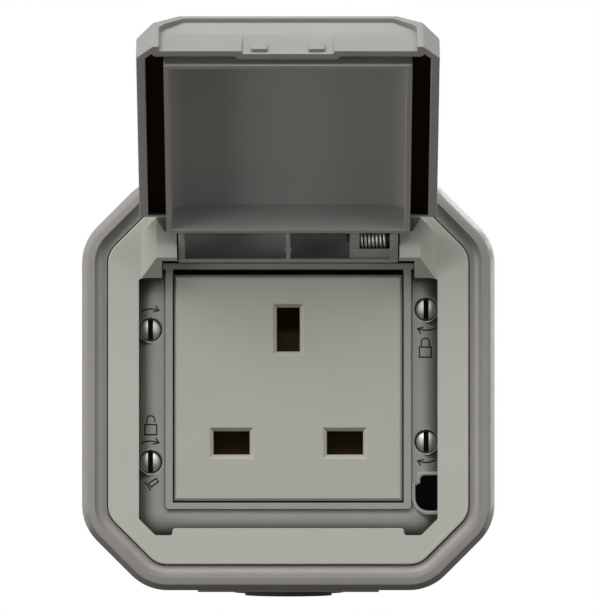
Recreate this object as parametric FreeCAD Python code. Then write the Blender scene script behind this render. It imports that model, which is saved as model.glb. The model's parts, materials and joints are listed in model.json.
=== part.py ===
import FreeCAD, Part
import math
import os

# Weatherproof socket outlet for outdoors, on a surface box, with its lid standing open.
# Millimetres. X runs to the right, Y into the wall, Z up. The origin is on the wall,
# behind the middle of the box. A depth is a distance out from the wall, so it is -Y.

# Depths out from the wall, taken from the bezel's face
BEZEL_DEPTH = 45.0
LEDGE_DROP = 9.8
PILLOW_DROP = 2.8
HINGE_RISE = 1.6
LEDGE_DEPTH = BEZEL_DEPTH - LEDGE_DROP
PILLOW_DEPTH = BEZEL_DEPTH - PILLOW_DROP
HINGE_DEPTH = BEZEL_DEPTH + HINGE_RISE

# Mechanism cover plate, which the rest is built round, and the lip seal round it
PLATE_HALF = 22.36
PLATE_TOP = 21.38
PLATE_BOTTOM = -22.91
PLATE_RISE = 0.4
PLATE_DEPTH = PILLOW_DEPTH + PLATE_RISE
PLATE_THICKNESS = 2.2
PLATE_SKIRT = 1.2
PLATE_BEVEL = 0.5
LIP_SIDE_GAP = 0.24
LIP_TOP_GAP = 1.04
LIP_BOTTOM_GAP = 0.35
LIP_SIDE_WIDTH = 1.5
LIP_TOP_WIDTH = 1.24
LIP_BOTTOM_WIDTH = 1.28
LIP_EAR = 0.5
LIP_RISE = 0.75
LIP_SEAT = 2.0
LIP_SEAT_GAP = 0.05
LIP_CORNER = 0.6
LIP_INNER_HALF = PLATE_HALF + LIP_SIDE_GAP
LIP_INNER_TOP = PLATE_TOP + LIP_TOP_GAP
LIP_INNER_BOTTOM = PLATE_BOTTOM - LIP_BOTTOM_GAP
LIP_OUTER_HALF = LIP_INNER_HALF + LIP_SIDE_WIDTH
LIP_TOP = LIP_INNER_TOP + LIP_TOP_WIDTH
LIP_BOTTOM = LIP_INNER_BOTTOM - LIP_BOTTOM_WIDTH
LIP_DEPTH = PILLOW_DEPTH + LIP_RISE
LIP_SEAT_DEPTH = PILLOW_DEPTH - LIP_SEAT

# Quarter-turn screws
SCREW_FROM_LIP = 2.9
SCREW_X = LIP_OUTER_HALF + SCREW_FROM_LIP
LEFT_SCREW_HEIGHTS = (10.6, -15.3)
RIGHT_SCREW_HEIGHTS = (14.6, -11.3)
SCREW_HEAD_RADIUS = 2.0
SCREW_HEAD_GAP = 0.3
SCREW_HEAD_HEIGHT = 2.4
SCREW_DOME_RADIUS = 3.2
SCREW_SEAT_GAP = 0.05
SCREW_RIM = 0.3
SCREW_RIM_DROP = 0.15
SCREW_SLOT = 1.0
SCREW_SLOT_DEPTH = 1.2
SCREW_SHANK_RADIUS = 1.3
SCREW_RUNNING = 0.1
SCREW_FOOT_LENGTH = 5.0
SCREW_FOOT_WIDTH = 1.6
SCREW_FOOT_HEIGHT = 1.6
SCREW_BOSS_RADIUS = 3.3
POST_RADIUS = 4.4
POST_DROP = 2.2
POST_TOP = LEDGE_DEPTH - POST_DROP
POST_CAP = 2.0
POST_CHAMBER_RADIUS = 3.1
POST_CHAMBER_HEIGHT = 3.4
KEY_SLOT_GAP = 0.3

# Hinge line
HINGE_FROM_LIP = 4.84
HINGE_Z = LIP_TOP + HINGE_FROM_LIP
OPEN_ANGLE = 131.8

# Opening of the front bezel
OPENING_FROM_SCREW = 0.2
OPENING_FROM_LIP = 3.66
OPENING_NOTCH = 1.4
OPENING_NOTCH_FROM_LIP = 0.05
OPENING_CHAMFER = 3.2
OPENING_CORNER = 0.6
OPENING_SIDE_CORNER = 0.4
OPENING_SIDE_DROP = 8.0
OPENING_INNER_DROP = 7.3
OPENING_LUG_DROP = 4.4
OPENING_TOP_DROP = 4.55
OPENING_LUG_WIDTH = 3.0
OPENING_HALF = SCREW_X + SCREW_HEAD_RADIUS + OPENING_FROM_SCREW
OPENING_BOTTOM = LIP_BOTTOM - OPENING_FROM_LIP
OPENING_NOTCH_BOTTOM = OPENING_BOTTOM - OPENING_NOTCH
OPENING_NOTCH_X = LIP_INNER_HALF + OPENING_NOTCH_FROM_LIP
OPENING_SIDE_TOP = HINGE_Z - OPENING_SIDE_DROP
OPENING_INNER_TOP = HINGE_Z - OPENING_INNER_DROP
OPENING_LUG_Z = HINGE_Z - OPENING_LUG_DROP
OPENING_TOP = HINGE_Z - OPENING_TOP_DROP

# Section of the box's wall, as insets from its outline and depths
BEVEL_WIDTH = 1.1
RIDGE_INSET = 2.6
COVE_MIDDLE_INSET = 3.5
RECESS_INSET = 4.95
LEDGE_WIDTH = 1.8
SIDE_DROP = 3.0
BEVEL_RISE = 0.8
RIDGE_RISE = 1.0
COVE_MIDDLE_DROP = 0.25
COVE_FOOT_DROP = 0.7
BOX_SIDE_DEPTH = BEZEL_DEPTH - SIDE_DROP

# Front bezel
BEZEL_BAND = 6.05
BEZEL_GAP = 0.2
BEZEL_THICKNESS = 2.0
BEZEL_SKIRT = 1.5
BEZEL_EDGE = 0.25

# Surface box
BOX_HALF = OPENING_HALF + BEZEL_BAND + BEZEL_GAP + RECESS_INSET
BOX_CHAMFER = 12.6
BOX_CORNER_RADIUS = 10.0
BOX_BACK_DRAFT = 0.9
BOX_WALL = 2.3
BOX_BACK_WALL = 2.5
CORING_DEPTH = POST_TOP
CORING_RIB = 1.6
CORING_RIB_PLACE = 18.0
FIXING_INSET_X = 16.4
FIXING_INSET_Z = 11.4
FIXING_RADIUS = 2.2
FIXING_BOSS_RADIUS = 3.8
FIXING_BOSS_HEIGHT = 1.5

# Cable entry in the underside
ENTRY_DEPTH = 22.0
ENTRY_RADIUS = 9.0
ENTRY_BOSS_RADIUS = 12.6
ENTRY_PAD_WIDTH = 35.6
ENTRY_PAD_DROP = 0.5
ENTRY_PAD_START = 5.0
ENTRY_PAD_SETBACK = 4.0
MEMBRANE_RADIUS = 10.85
MEMBRANE_FLANGE = 1.15
MEMBRANE_STEP_RADIUS = 8.6
MEMBRANE_WALL = 1.0
MEMBRANE_CONE_RADIUS = 5.0
MEMBRANE_CONE_HEIGHT = 4.0
MEMBRANE_FIT = 0.1

# Carrier frame and the gasket that it is pressed on
GASKET_HEIGHT = 1.0
GASKET_WIDTH = 1.5
FLANGE_DEPTH = LEDGE_DEPTH + GASKET_HEIGHT
FLANGE_THICKNESS = 1.5
FRAME_GAP = 0.35
FRAME_WALL = 1.8
PILLOW_LAP = 1.4
PILLOW_TOP_LAP = 0.34
PILLOW_EDGE_LAND = 0.4
PILLOW_HALF = OPENING_HALF + PILLOW_LAP
PILLOW_BOTTOM = OPENING_NOTCH_BOTTOM - PILLOW_LAP
PILLOW_TOP = LIP_TOP + PILLOW_TOP_LAP
PILLOW_EDGE_RADIUS = PILLOW_DEPTH - FLANGE_DEPTH - PILLOW_EDGE_LAND
PILLOW_CORNER = PILLOW_EDGE_RADIUS + PILLOW_EDGE_LAND

# Cable passage beside the mechanism
PASSAGE_FROM_SCREW = 0.3
PASSAGE_FROM_LIP = 0.8
PASSAGE_RADIUS = 2.56
PASSAGE_RISE = 2.24
PASSAGE_STEP = 0.95
PASSAGE_STEP_RISE = 2.7
PASSAGE_HEIGHT = 4.4
PASSAGE_CORNER = 0.9
PASSAGE_STEP_CORNER = 0.3
PASSAGE_CORNER_LAND = 0.05
PASSAGE_RIM = 0.75
PASSAGE_RIM_HEIGHT = 0.5
PASSAGE_X = SCREW_X + PASSAGE_FROM_SCREW
PASSAGE_LEFT = LIP_OUTER_HALF + PASSAGE_FROM_LIP
PASSAGE_Z = LIP_BOTTOM + PASSAGE_RISE
PASSAGE_STEP_Z = PASSAGE_Z + PASSAGE_STEP_RISE
PASSAGE_TOP = PASSAGE_Z + PASSAGE_HEIGHT

# Pin openings: a flat-pin pattern of one tall and two wide slots
PIN_SPACING = 22.22
EARTH_Z = 10.65
EARTH_WIDTH = 4.5
EARTH_HEIGHT = 8.6
POLE_WIDTH = 7.1
POLE_HEIGHT = 4.6
SLOT_BEVEL = 0.75
SLEEVE_WALL = 0.9

# Mechanism body behind the plate
BODY_INSET = 1.1
BODY_LENGTH = 22.2
BODY_BACK = FLANGE_DEPTH - BODY_LENGTH
BODY_CORNER = 2.0
EAR_HALF = 8.0
EAR_REACH = 2.6
EAR_THICKNESS = 2.0
CHAMBER_CLEARANCE = 1.0
CHAMBER_WALL = 3.0
CHAMBER_FLOOR = BODY_BACK + CHAMBER_WALL

# Contacts, pressed from brass strip
STRIP = 0.8
CONTACT_GAP_SHARE = 0.9
CONTACT_SETBACK = 1.6
CONTACT_FRONT = FLANGE_DEPTH - CONTACT_SETBACK
CONTACT_THROAT = 6.0
CONTACT_LEAD = 2.0
CONTACT_SEAT_GAP = 0.1
TERMINAL_WIDTH = 6.4
TERMINAL_HEIGHT = 7.0
TERMINAL_DEPTH = 8.0
TERMINAL_LAP = 1.0
TERMINAL_BORE = 2.0
TERMINAL_SCREW_RADIUS = 1.5
TERMINAL_HEAD_RADIUS = 2.1
TERMINAL_HEAD_HEIGHT = 1.4
TERMINAL_SLOT = 0.7

# Shutter behind the pole openings
SHUTTER_RUNNING = 0.15
SHUTTER_THICKNESS = 1.4
SHUTTER_TRAVEL = 5.2
SHUTTER_LAP = 0.4
SHUTTER_BAR = 6.0
SHUTTER_TAB_DEPTH = 3.0
SHUTTER_TAB_HEIGHT = 2.0
SHUTTER_TAB_RISE = 0.6
SHUTTER_SPRING_RADIUS = 1.3
SHUTTER_SPRING_WIRE = 0.4
SHUTTER_SPRING_TURNS = 4.0
SHUTTER_SPRING_LENGTH = 7.4
SHUTTER_LOW = FLANGE_DEPTH + SHUTTER_RUNNING
SHUTTER_HIGH = SHUTTER_LOW + SHUTTER_THICKNESS
SLEEVE_DEPTH = SHUTTER_HIGH + SHUTTER_RUNNING

# Hinge
BARREL_INSET = 0.96
BARREL_HALF = PLATE_HALF - BARREL_INSET
BARREL_RADIUS = 4.75
BARREL_WALL = 0.7
BARREL_RIM = -3.4
BARREL_SHOULDER = 0.4
STOP_GAP = 0.3
TROUGH_GAP = 0.4
TROUGH_WALL = 1.2
TROUGH_RADIUS = BARREL_RADIUS + TROUGH_GAP
LUG_INNER = BARREL_HALF + STOP_GAP
LUG_WIDTH = 4.0
LUG_RIDGE = LUG_INNER + LUG_WIDTH
LUG_SHOULDER = 2.5
LUG_RISE = 5.0
LUG_FRONT = BEZEL_DEPTH + LUG_RISE
LUG_BASE_BOTTOM = HINGE_Z - 7.8
LUG_FRONT_BOTTOM = HINGE_Z - 3.8
LUG_FRONT_TOP = HINGE_Z + 1.3
LUG_FRONT_PEAK = HINGE_Z + 3.9
LUG_BASE_TOP = HINGE_Z + 5.5
LUG_CORNER_RISE = 1.1
OPENING_INNER_X = LUG_INNER + OPENING_LUG_WIDTH
HINGE_PIN_RADIUS = 1.2
HINGE_RUNNING = 0.06
PIN_PRESS_GAP = 0.02
PIN_IN_LUG = 2.9
PLUNGER_IN_LUG = 2.2
PLUNGER_FLANGE_RADIUS = 1.7
PLUNGER_FLANGE = 0.55
PLUNGER_TAIL_RADIUS = 0.8
PLUNGER_TAIL_REACH = 0.5

# Lid, measured from the hinge axis: down along the closed lid, and out from it
LID_SIDE_GAP = 0.3
LID_HALF = OPENING_HALF - LID_SIDE_GAP
LUG_OUTER_INSET = 0.2
LUG_OUTER = LID_HALF - LUG_OUTER_INSET
LID_WALL = 1.7
LID_FRONT = 5.0
LID_RIM_CLEARANCE = 1.3
LID_RIM = PILLOW_DEPTH + LID_RIM_CLEARANCE - HINGE_DEPTH
LID_BEVEL_WIDTH = 8.1
LID_BEVEL_DROP = 2.9
LID_FLAT_HALF = LID_HALF - LID_BEVEL_WIDTH
LID_FLOOR = 3.2
LID_FREE_GAP = 0.4
LID_FREE_DOWN = HINGE_Z - OPENING_BOTTOM - LID_FREE_GAP
LID_LIP = 1.2
LID_LIP_DOWN = LID_FREE_DOWN + LID_LIP
LID_CHAMFER = 3.2
LID_CORNER_RADIUS = 0.8
LID_CREASE_RISE = 0.6
LID_CREASE_DOWN = LID_FREE_DOWN - LID_CREASE_RISE
LID_CREASE_OUT = 1.8
GRIP_DROP = 0.1
GRIP_DOWN = LID_FREE_DOWN + GRIP_DROP
GRIP_OUT = 4.3
GRIP_INSET = 4.4
GRIP_HALF = LID_HALF - GRIP_INSET
GRIP_SHOULDER = 4.5
GRIP_SHOULDER_DROP = 1.5
GRIP_SHOULDER_END = 0.8
NOTCH_HALF = 9.3
NOTCH_FLOOR_HALF = 8.5
NOTCH_DEEP = 0.8
CATCH_INNER_X = 3.9
CATCH_OUTER_X = 7.0
CATCH_DROP = 0.15
CATCH_DOWN = LID_FREE_DOWN + CATCH_DROP
CATCH_ROOT = 1.2
CATCH_LOW = -2.7
CATCH_HIGH = -1.2
WING_GAP = 0.45
COLLAR_LAP = 0.4
COLLAR_SEAT_GAP = 0.1
COLLAR_HALF = LIP_OUTER_HALF - COLLAR_LAP
COLLAR_WALL = 1.1
COLLAR_TOP = HINGE_Z - LIP_TOP + COLLAR_LAP
COLLAR_BOTTOM = HINGE_Z - LIP_BOTTOM - COLLAR_LAP
COLLAR_RIM = LIP_DEPTH + COLLAR_SEAT_GAP - HINGE_DEPTH
COLLAR_CORNER = 0.8
CHANNEL_FLOOR = 0.6
CHANNEL_RELIEF = 0.6
CHANNEL_END = 10.0
LEFT_RIB = 1.2
RIGHT_RIB = 1.6
MIDDLE_RIB = 0.8
MIDDLE_NUB = 0.7
MIDDLE_NUB_HEIGHT = 0.6
MIDDLE_NUB_PLACE = 0.2
SEAT_X = 12.0
SEAT_WIDTH = 1.9
CRADLE_OUT = -2.45
CRADLE_THICKNESS = 0.55
CRADLE_TOP = -0.1
HINGE_SPRING_RADIUS = 1.85
HINGE_SPRING_WIRE = 0.5
HINGE_SPRING_TURNS = 6.3
SPRING_END_GAP = 0.05
LID_SEAL_TOP = -1.2
LID_SEAL_GAP = 0.05

# Lengths that only make a cut pass clean through
BEYOND = 20.0


def point(x, depth, z):
    return FreeCAD.Vector(x, -depth, z)


def lid_point(x, down, out):
    """A point of the closed lid, with the hinge axis at the origin."""
    return FreeCAD.Vector(x, -out, -down)


def rounded_wire(corners):
    """Closed wire through corners given as (point, radius)."""
    starts = []
    middles = []
    ends = []
    count = len(corners)
    for index in range(count):
        corner, radius = corners[index]
        into = (corner - corners[index - 1][0]).normalize()
        away = (corners[(index + 1) % count][0] - corner).normalize()
        half_turn = into.getAngle(away) / 2
        setback = radius * math.tan(half_turn)
        inward = (away - into).normalize()
        starts.append(corner - into * setback)
        ends.append(corner + away * setback)
        middles.append(corner + inward * (radius / math.cos(half_turn) - radius))
    edges = []
    for index in range(count):
        if corners[index][1] > 0:
            arc = Part.Arc(starts[index], middles[index], ends[index])
            edges.append(arc.toShape())
        line = Part.LineSegment(ends[index], starts[(index + 1) % count])
        edges.append(line.toShape())
    return Part.Wire(edges)


def solid_from(corners, along):
    return Part.Face(rounded_wire(corners)).extrude(along)


def slab(corners, low, high):
    """Plate parallel to the wall. Corners are (x, z, radius)."""
    placed = [(point(x, low, z), radius) for x, z, radius in corners]
    return solid_from(placed, point(0, high - low, 0))


def across(corners, left, right):
    """Bar along X. Corners are (depth, z)."""
    placed = [(point(left, depth, z), 0) for depth, z in corners]
    return solid_from(placed, FreeCAD.Vector(right - left, 0, 0))


def block(left, right, low, high, bottom, top):
    return Part.makeBox(right - left, high - low, top - bottom, point(left, high, bottom))


def rod(x, z, radius, low, high):
    return Part.makeCylinder(radius, high - low, point(x, low, z), point(0, 1, 0))


def hinge_rod(radius, left, right):
    start = point(left, HINGE_DEPTH, HINGE_Z)
    return Part.makeCylinder(radius, right - left, start, FreeCAD.Vector(1, 0, 0))


def rectangle(half, bottom, top, radius):
    return [(-half, bottom, radius), (half, bottom, radius), (half, top, radius), (-half, top, radius)]


def octagon(inset):
    """Corners of the box outline moved inwards by an inset."""
    half = BOX_HALF - inset
    flat = half - (BOX_CHAMFER - inset * (2 - math.sqrt(2)))
    radius = BOX_CORNER_RADIUS - inset
    corners = [(flat, -half), (half, -flat), (half, flat), (flat, half)]
    corners += [(-x, -z) for x, z in corners]
    return [(x, z, radius) for x, z in corners]


def octagon_ring(outer_inset, inner_inset, low, high):
    return slab(octagon(outer_inset), low, high).cut(slab(octagon(inner_inset), low, high))


def mirrored(shape):
    return shape.mirror(FreeCAD.Vector(0, 0, 0), FreeCAD.Vector(1, 0, 0))


def screw_places():
    left = [(-SCREW_X, z) for z in LEFT_SCREW_HEIGHTS]
    right = [(SCREW_X, z) for z in RIGHT_SCREW_HEIGHTS]
    return left + right


def cove_middle():
    return COVE_MIDDLE_INSET, BEZEL_DEPTH - COVE_MIDDLE_DROP


def box_rim_profile():
    """Section of the box's wall, in the plane X-Y, as (inset, depth)."""
    return [
        (BOX_BACK_DRAFT, 0),
        (0, BOX_SIDE_DEPTH),
        (BEVEL_WIDTH, BEZEL_DEPTH + BEVEL_RISE),
        (RIDGE_INSET, BEZEL_DEPTH + RIDGE_RISE),
        cove_middle(),
        (RECESS_INSET, BEZEL_DEPTH - COVE_FOOT_DROP),
        (RECESS_INSET, LEDGE_DEPTH),
        (RECESS_INSET + LEDGE_WIDTH, LEDGE_DEPTH),
        (RECESS_INSET + LEDGE_WIDTH, 0),
    ]


def box_wall():
    """The section carried round the eight-sided outline, as one moulded wall."""
    outline = [(point(x, 0, z), radius) for x, z, radius in octagon(0)]
    path = rounded_wire(outline)
    start = path.Edges[1].Vertexes[0].Point
    side = path.Edges[1].Vertexes[1].Point - start
    inwards = FreeCAD.Vector(side.z, 0, -side.x).normalize()
    if inwards.dot(start) > 0:
        inwards = inwards * -1
    places = [start + inwards * inset + point(0, depth, 0) for inset, depth in box_rim_profile()]
    edges = []
    count = len(places)
    cove = box_rim_profile().index(cove_middle())
    for index in range(count):
        if index == cove - 1:
            edges.append(Part.Arc(places[cove - 1], places[cove], places[cove + 1]).toShape())
        elif index != cove:
            edges.append(Part.LineSegment(places[index], places[(index + 1) % count]).toShape())
    sweep = Part.BRepOffsetAPI.MakePipeShell(Part.Wire(path.Edges[1:] + path.Edges[:1]))
    sweep.setTransitionMode(0)
    sweep.add(Part.Wire(edges))
    sweep.build()
    sweep.makeSolid()
    return sweep.shape()


def box_coring():
    """Groove cored out of the wall from behind, bridged by ribs."""
    groove = octagon_ring(BOX_BACK_DRAFT + BOX_WALL, RECESS_INSET, 0, CORING_DEPTH)
    half_rib = CORING_RIB / 2
    for place in (-CORING_RIB_PLACE, CORING_RIB_PLACE):
        groove = groove.cut(block(place - half_rib, place + half_rib, 0, BEYOND * 3, -BEYOND * 3, BEYOND * 3))
        groove = groove.cut(block(-BEYOND * 3, BEYOND * 3, 0, BEYOND * 3, place - half_rib, place + half_rib))
    entry = Part.makeCylinder(
        ENTRY_BOSS_RADIUS, BEYOND, point(0, ENTRY_DEPTH, -BOX_HALF - 1), FreeCAD.Vector(0, 0, 1)
    )
    return groove.cut(entry)


def screw_post(x, z):
    """Post that a quarter-turn screw's foot locks under."""
    post = rod(x, z, POST_RADIUS, 0, POST_TOP)
    chamber_top = POST_TOP - POST_CAP
    post = post.cut(rod(x, z, POST_CHAMBER_RADIUS, chamber_top - POST_CHAMBER_HEIGHT, chamber_top))
    post = post.cut(rod(x, z, SCREW_SHANK_RADIUS + SCREW_RUNNING, chamber_top - 1, POST_TOP + 1))
    half_width = SCREW_FOOT_WIDTH / 2 + KEY_SLOT_GAP
    half_length = SCREW_FOOT_LENGTH / 2 + KEY_SLOT_GAP
    slot = block(
        x - half_width, x + half_width, chamber_top - 1, POST_TOP + 1, z - half_length, z + half_length
    )
    return post.cut(slot)


def back_box():
    body = box_wall().fuse(slab(octagon(BOX_BACK_DRAFT + 1), 0, BOX_BACK_WALL))
    body = body.cut(box_coring())
    half_pad = ENTRY_PAD_WIDTH / 2
    pad_end = BOX_SIDE_DEPTH - ENTRY_PAD_SETBACK
    pad = block(
        -half_pad, half_pad, ENTRY_PAD_START, pad_end, -BOX_HALF - ENTRY_PAD_DROP, -BOX_HALF + BOX_BACK_DRAFT
    )
    body = body.fuse(pad)
    for x, z in screw_places():
        body = body.fuse(screw_post(x, z))
    half_x = BOX_HALF - FIXING_INSET_X
    half_z = BOX_HALF - FIXING_INSET_Z
    for x in (-half_x, half_x):
        for z in (-half_z, half_z):
            body = body.fuse(rod(x, z, FIXING_BOSS_RADIUS, 0, BOX_BACK_WALL + FIXING_BOSS_HEIGHT))
            body = body.cut(rod(x, z, FIXING_RADIUS, -1, BEYOND))
    entry = Part.makeCylinder(
        ENTRY_RADIUS, BEYOND, point(0, ENTRY_DEPTH, -BOX_HALF - 1), FreeCAD.Vector(0, 0, 1)
    )
    return body.cut(entry).removeSplitter()


def entry_membrane():
    """Elastomer plug of the cable entry: flange outside, neck, and a pierceable cone inside."""
    outer_face = -BOX_HALF - ENTRY_PAD_DROP
    inner_face = -BOX_HALF + RECESS_INSET + LEDGE_WIDTH
    neck = ENTRY_RADIUS - MEMBRANE_FIT
    section = [
        (0, outer_face - MEMBRANE_FLANGE),
        (MEMBRANE_STEP_RADIUS, outer_face - MEMBRANE_FLANGE),
        (MEMBRANE_STEP_RADIUS, outer_face - MEMBRANE_FLANGE / 2),
        (MEMBRANE_RADIUS, outer_face - MEMBRANE_FLANGE / 2),
        (MEMBRANE_RADIUS, outer_face),
        (neck, outer_face),
        (neck, inner_face),
        (neck - MEMBRANE_WALL, inner_face),
        (MEMBRANE_CONE_RADIUS, inner_face + MEMBRANE_CONE_HEIGHT),
        (MEMBRANE_CONE_RADIUS - MEMBRANE_WALL, inner_face + MEMBRANE_CONE_HEIGHT - MEMBRANE_WALL),
        (neck - 2 * MEMBRANE_WALL, outer_face),
        (0, outer_face),
    ]
    places = [point(radius, ENTRY_DEPTH, z) for radius, z in section]
    face = Part.Face(Part.makePolygon(places + places[:1]))
    return face.revolve(point(0, ENTRY_DEPTH, 0), FreeCAD.Vector(0, 0, 1), 360)


def frame_gasket():
    outer = RECESS_INSET + FRAME_GAP / 2
    return octagon_ring(outer, outer + GASKET_WIDTH, LEDGE_DEPTH, LEDGE_DEPTH + GASKET_HEIGHT)


def trough_cutter(extra):
    return hinge_rod(TROUGH_RADIUS + extra, -LUG_INNER - BEYOND, LUG_INNER + BEYOND)


def passage_outline(grow):
    left = PASSAGE_LEFT - grow
    right = PASSAGE_X + PASSAGE_RADIUS
    bottom = PASSAGE_Z - PASSAGE_RADIUS - grow
    top = PASSAGE_TOP + grow
    corner = PASSAGE_RADIUS + grow - PASSAGE_CORNER_LAND
    step_x = left + PASSAGE_STEP
    return [
        (left, bottom, corner),
        (right, bottom, 0),
        (right, top, 0),
        (step_x, top, PASSAGE_CORNER),
        (step_x, PASSAGE_STEP_Z, 0),
        (left, PASSAGE_STEP_Z, PASSAGE_STEP_CORNER),
    ]


def front_edges(shape, depth):
    return [edge for edge in shape.Edges if abs(edge.BoundBox.YMax + depth) < 0.001]


def pillow(inset, low):
    """Rounded block of the carrier's shoulders, moved inwards by an inset."""
    outline = rectangle(PILLOW_HALF - inset, PILLOW_BOTTOM + inset, PILLOW_TOP - inset, PILLOW_CORNER - inset)
    high = PILLOW_DEPTH - inset
    shape = slab(outline, low, high)
    return shape.makeFillet(PILLOW_EDGE_RADIUS - inset, front_edges(shape, high))


def lip_block(gap, low, high):
    """Block of the lip seal's outline, with the ears at the ends of its top strip."""
    body = slab(rectangle(LIP_OUTER_HALF + gap, LIP_BOTTOM - gap, LIP_TOP + gap, LIP_CORNER), low, high)
    ear_half = LIP_OUTER_HALF + LIP_EAR + gap
    return body.fuse(block(-ear_half, ear_half, low, high, LIP_INNER_TOP - gap, LIP_TOP + gap))


def inner_frame():
    """Carrier: rounded shoulders on a flange, open in the middle for the mechanism."""
    base = FLANGE_DEPTH
    core = pillow(FRAME_WALL, base - 1)
    seat = slab(
        rectangle(
            LIP_OUTER_HALF + FRAME_WALL / 2,
            LIP_BOTTOM - FRAME_WALL / 2,
            LIP_TOP + FRAME_WALL / 2,
            LIP_CORNER,
        ),
        base - 2,
        PILLOW_DEPTH,
    )
    core = core.cut(seat)
    for x, z in screw_places():
        core = core.cut(rod(x, z, SCREW_BOSS_RADIUS, base - 2, PILLOW_DEPTH))
    passage_wall = slab(passage_outline(PASSAGE_RIM), base - 2, PILLOW_DEPTH)
    core = core.cut(passage_wall)
    frame = pillow(0, base).cut(core)
    flange = slab(octagon(RECESS_INSET + FRAME_GAP), base, base + FLANGE_THICKNESS)
    flange = flange.cut(
        slab(
            rectangle(
                PILLOW_HALF - FRAME_WALL,
                PILLOW_BOTTOM + FRAME_WALL,
                PILLOW_TOP - FRAME_WALL,
                PILLOW_CORNER - FRAME_WALL,
            ),
            base - 1,
            PILLOW_DEPTH,
        )
    )
    frame = frame.fuse(flange)
    rim = slab(passage_outline(PASSAGE_RIM), base, PILLOW_DEPTH + PASSAGE_RIM_HEIGHT)
    keep = slab(rectangle(OPENING_HALF + SCREW_RIM, PILLOW_BOTTOM, PILLOW_TOP, 0), 0, BEYOND * 3)
    frame = frame.fuse(rim.common(keep))
    frame = frame.cut(slab(passage_outline(0), base - 1, BEYOND * 3))
    for x, z in screw_places():
        spot = SCREW_HEAD_RADIUS + SCREW_HEAD_GAP + SCREW_RIM
        frame = frame.fuse(rod(x, z, spot, base, PILLOW_DEPTH - SCREW_RIM_DROP))
    frame = frame.cut(lip_block(LIP_SEAT_GAP, LIP_SEAT_DEPTH, BEYOND * 3))
    window = rectangle(LIP_INNER_HALF, LIP_INNER_BOTTOM, LIP_INNER_TOP, 0)
    frame = frame.cut(slab(window, base - 1, BEYOND * 3))
    for x, z in screw_places():
        head_seat = PILLOW_DEPTH - SCREW_HEAD_HEIGHT
        frame = frame.cut(rod(x, z, SCREW_HEAD_RADIUS + SCREW_HEAD_GAP, head_seat, BEYOND * 3))
        frame = frame.cut(rod(x, z, SCREW_SHANK_RADIUS + SCREW_RUNNING, base - 1, BEYOND * 3))
    return frame.cut(trough_cutter(TROUGH_WALL + BEZEL_GAP)).removeSplitter()


def plate_seal():
    """Raised lip that the closed lid's collar presses on."""
    outer = lip_block(0, LIP_SEAT_DEPTH, LIP_DEPTH)
    inner = slab(
        rectangle(LIP_INNER_HALF, LIP_INNER_BOTTOM, LIP_INNER_TOP, 0), LIP_SEAT_DEPTH - 1, LIP_DEPTH + 1
    )
    return outer.cut(inner)


def pin_openings():
    """Centre x, centre z, width and height of each pin opening."""
    pole_z = EARTH_Z - PIN_SPACING
    half = PIN_SPACING / 2
    return [
        (0, EARTH_Z, EARTH_WIDTH, EARTH_HEIGHT),
        (-half, pole_z, POLE_WIDTH, POLE_HEIGHT),
        (half, pole_z, POLE_WIDTH, POLE_HEIGHT),
    ]


def opening_slab(opening, grow, low, high):
    x, z, width, height = opening
    half = width / 2 + grow
    tall = height / 2 + grow
    return block(x - half, x + half, low, high, z - tall, z + tall)


def opening_bevel(opening):
    x, z, width, height = opening
    wires = []
    for grow in (0, SLOT_BEVEL):
        depth = PLATE_DEPTH - SLOT_BEVEL + grow
        corners = [
            point(x - width / 2 - grow, depth, z - height / 2 - grow),
            point(x + width / 2 + grow, depth, z - height / 2 - grow),
            point(x + width / 2 + grow, depth, z + height / 2 + grow),
            point(x - width / 2 - grow, depth, z + height / 2 + grow),
        ]
        wires.append(Part.makePolygon(corners + corners[:1]))
    return Part.makeLoft(wires, True, True)


def socket_plate():
    """Cover of the mechanism, with a skirt, and a sleeve behind each pin opening."""
    base = FLANGE_DEPTH
    outer = slab(rectangle(PLATE_HALF, PLATE_BOTTOM, PLATE_TOP, 0), base, PLATE_DEPTH)
    outer = outer.makeChamfer(PLATE_BEVEL, front_edges(outer, PLATE_DEPTH))
    inside = slab(
        rectangle(PLATE_HALF - PLATE_SKIRT, PLATE_BOTTOM + PLATE_SKIRT, PLATE_TOP - PLATE_SKIRT, 0),
        base - 1,
        PLATE_DEPTH - PLATE_THICKNESS,
    )
    plate = outer.cut(inside)
    for opening in pin_openings():
        plate = plate.fuse(opening_slab(opening, SLEEVE_WALL, SLEEVE_DEPTH, PLATE_DEPTH - PLATE_THICKNESS))
        plate = plate.cut(opening_slab(opening, 0, SLEEVE_DEPTH - 1, PLATE_DEPTH))
        plate = plate.cut(opening_bevel(opening))
    return plate.removeSplitter()


def terminal_place(opening):
    """Centre of a contact's terminal, below a pole and beside the earth."""
    x, z, width, height = opening
    if x == 0:
        return x, z + height / 2 - TERMINAL_HEIGHT / 2
    return x, z - height / 2 - TERMINAL_HEIGHT / 2 + TERMINAL_LAP


def shutter_pocket():
    """Groove in the body's front for the shutter's tab and its spring."""
    half = SHUTTER_SPRING_RADIUS + SHUTTER_SPRING_WIRE
    top = shutter_tab_bottom() + SHUTTER_TAB_HEIGHT + SHUTTER_LAP
    bottom = shutter_tab_bottom() - SHUTTER_SPRING_LENGTH
    base = FLANGE_DEPTH
    return block(-half, half, base - SHUTTER_TAB_DEPTH - 2 * SHUTTER_LAP, base + 1, bottom, top)


def shutter_tab_bottom():
    return EARTH_Z - PIN_SPACING - POLE_HEIGHT / 2 + SHUTTER_TAB_RISE


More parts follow.
